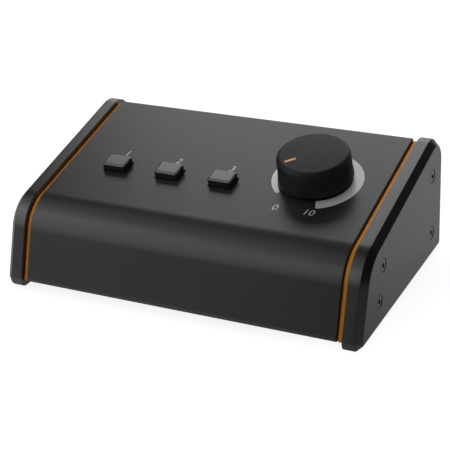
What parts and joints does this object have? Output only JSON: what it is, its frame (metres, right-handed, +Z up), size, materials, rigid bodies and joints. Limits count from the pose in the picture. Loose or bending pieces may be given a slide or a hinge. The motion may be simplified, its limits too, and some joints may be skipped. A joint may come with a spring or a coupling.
{
  "type": "studio monitor controller",
  "caption": "Desktop volume box: bent sheet shell between thick dark cheeks with orange trim, a large turning knob, a row of oblong push buttons and rear audio sockets.",
  "frame": {"origin": "middle of the bounding box at the underside of the rubber feet", "axes": "+X to the right seen from the front, +Y from the low front to the rear sockets, +Z up"},
  "size_m": [0.15, 0.0948, 0.0581],
  "materials": {
    "shell_dark": "dark anodised, finely blasted",
    "cheek_dark": "dark anodised, finely blasted",
    "trim_orange": "orange anodised",
    "screw_black": "black oxide",
    "foot_rubber": "matt black",
    "knob_black": "fine matt black",
    "pointer_orange": "matt orange",
    "shaft_metal": "turned",
    "pot_metal": "plain pressed",
    "bush_brass": "nickel-plated",
    "rotor_plastic": "plain moulded",
    "tinned_metal": "tinned",
    "cap_plastic": "satin dark grey",
    "plunger_plastic": "plain white",
    "housing_plastic": "plain moulded black",
    "spring_steel": "drawn wire",
    "plated_post": "nickel-plated",
    "plated_screw": "zinc-plated",
    "board_green": "green solder mask",
    "resistor_body": "light blue lacquer",
    "socket_black": "satin black",
    "insert_black": "plain moulded dark grey",
    "contact_plated": "silver-plated",
    "jack_chrome": "bright nickel",
    "ribbon_grey": "grey sheath"
  },
  "bodies": {
    "chassis": {"top_shell": "shell_dark", "base_tray": "shell_dark", "rear_panel": "shell_dark", "right_cheek": "cheek_dark", "left_cheek": "cheek_dark", "right_trim_plate": "trim_orange", "left_trim_plate": "trim_orange", "right_cheek_screws": "screw_black", "left_cheek_screws": "screw_black", "base_screws": "screw_black", "lip_screws": "screw_black", "connector_screws": "screw_black", "rubber_feet": "foot_rubber", "pot_housing": "pot_metal", "pot_washer": "pot_metal", "pot_bushing": "bush_brass", "pot_nut": "bush_brass", "pot_terminals": "tinned_metal", "switch_housing_1": "housing_plastic", "switch_housing_2": "housing_plastic", "switch_housing_3": "housing_plastic", "ribbon_headers": "housing_plastic", "mini_jack_housing": "housing_plastic", "return_spring_1": "spring_steel", "return_spring_2": "spring_steel", "return_spring_3": "spring_steel", "control_standoffs": "plated_post", "control_board_screws": "plated_screw", "control_board": "board_green", "connector_board": "board_green", "pad_resistors": "resistor_body", "input_shell_left": "socket_black", "input_shell_right": "socket_black", "output_shell_left": "socket_black", "output_shell_right": "socket_black", "input_insert_left": "insert_black", "input_insert_right": "insert_black", "output_insert_left": "insert_black", "output_insert_right": "insert_black", "output_pins_left": "contact_plated", "output_pins_right": "contact_plated", "mini_jack_bushing": "jack_chrome", "mini_jack_nut": "jack_chrome", "ribbon_cable": "ribbon_grey"},
    "volume": {"volume_knob": "knob_black", "knob_pointer": "pointer_orange", "pot_shaft": "shaft_metal", "pot_rotors": "rotor_plastic"},
    "button_1": {"button_cap_1": "cap_plastic", "switch_plunger_1": "plunger_plastic"},
    "button_2": {"button_cap_2": "cap_plastic", "switch_plunger_2": "plunger_plastic"},
    "button_3": {"button_cap_3": "cap_plastic", "switch_plunger_3": "plunger_plastic"}
  },
  "joints": [
    {"name": "volume_turn", "type": "hinge", "parent": "chassis", "child": "volume", "pos_m": [0.0383, 0.00364, 0.04301], "axis": [0, -0.2267, 0.974], "range_deg": [-294, 0]},
    {"name": "button_1_press", "type": "slide", "parent": "chassis", "child": "button_1", "axis": [0, 0.2267, -0.974], "range_m": [0, 0.002], "stiffness_N_per_m": 400, "springref_m": -0.001, "deforming": ["return_spring_1"]},
    {"name": "button_2_press", "type": "slide", "parent": "chassis", "child": "button_2", "axis": [0, 0.2267, -0.974], "range_m": [0, 0.002], "stiffness_N_per_m": 400, "springref_m": -0.001, "deforming": ["return_spring_2"]},
    {"name": "button_3_press", "type": "slide", "parent": "chassis", "child": "button_3", "axis": [0, 0.2267, -0.974], "range_m": [0, 0.002], "stiffness_N_per_m": 400, "springref_m": -0.001, "deforming": ["return_spring_3"]}
  ]
}
